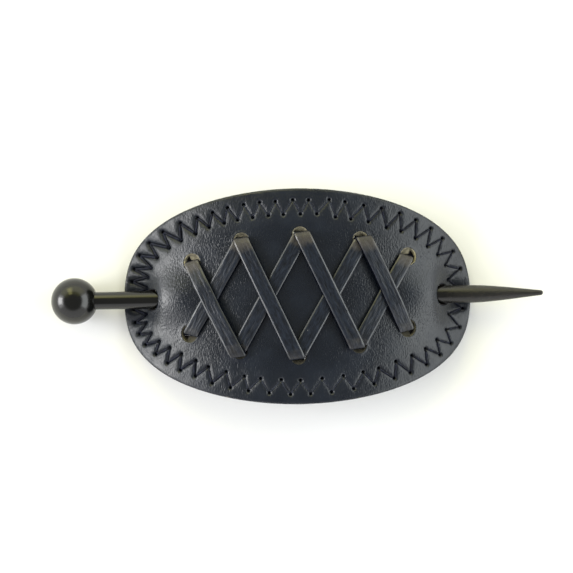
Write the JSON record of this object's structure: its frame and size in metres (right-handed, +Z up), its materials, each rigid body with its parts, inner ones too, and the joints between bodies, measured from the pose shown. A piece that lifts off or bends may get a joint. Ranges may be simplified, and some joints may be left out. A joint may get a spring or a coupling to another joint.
{
  "type": "hair barrette with stick",
  "caption": "Arched oval leather hair barrette with a crossed flat lace, zigzag edge stitching and a round lacquered stick with a ball on one end.",
  "frame": {"origin": "bottom centre of the whole object's box, on the surface that it lies on, under the middle of the leather oval", "axes": "+X along the stick towards its point, +Y across the stick, +Z up, away from the wearer's head"},
  "size_m": [0.1622, 0.0694, 0.0256],
  "materials": {
    "oval_leather": "smooth navy-black dyed leather, satin",
    "lace_leather": "flat navy-black leather lace, rubbed tan at its folds",
    "lacquered_wood": "black lacquer, glossy"
  },
  "bodies": {
    "barrette": {"leather_oval": "oval_leather", "lace": "lace_leather"},
    "stick": {"stick_shaft": "lacquered_wood", "ball_knob": "lacquered_wood"}
  },
  "joints": [
    {"name": "stick_slide", "type": "slide", "parent": "barrette", "child": "stick", "axis": [1, 0, 0], "range_m": [-0.14, 0.01]}
  ]
}
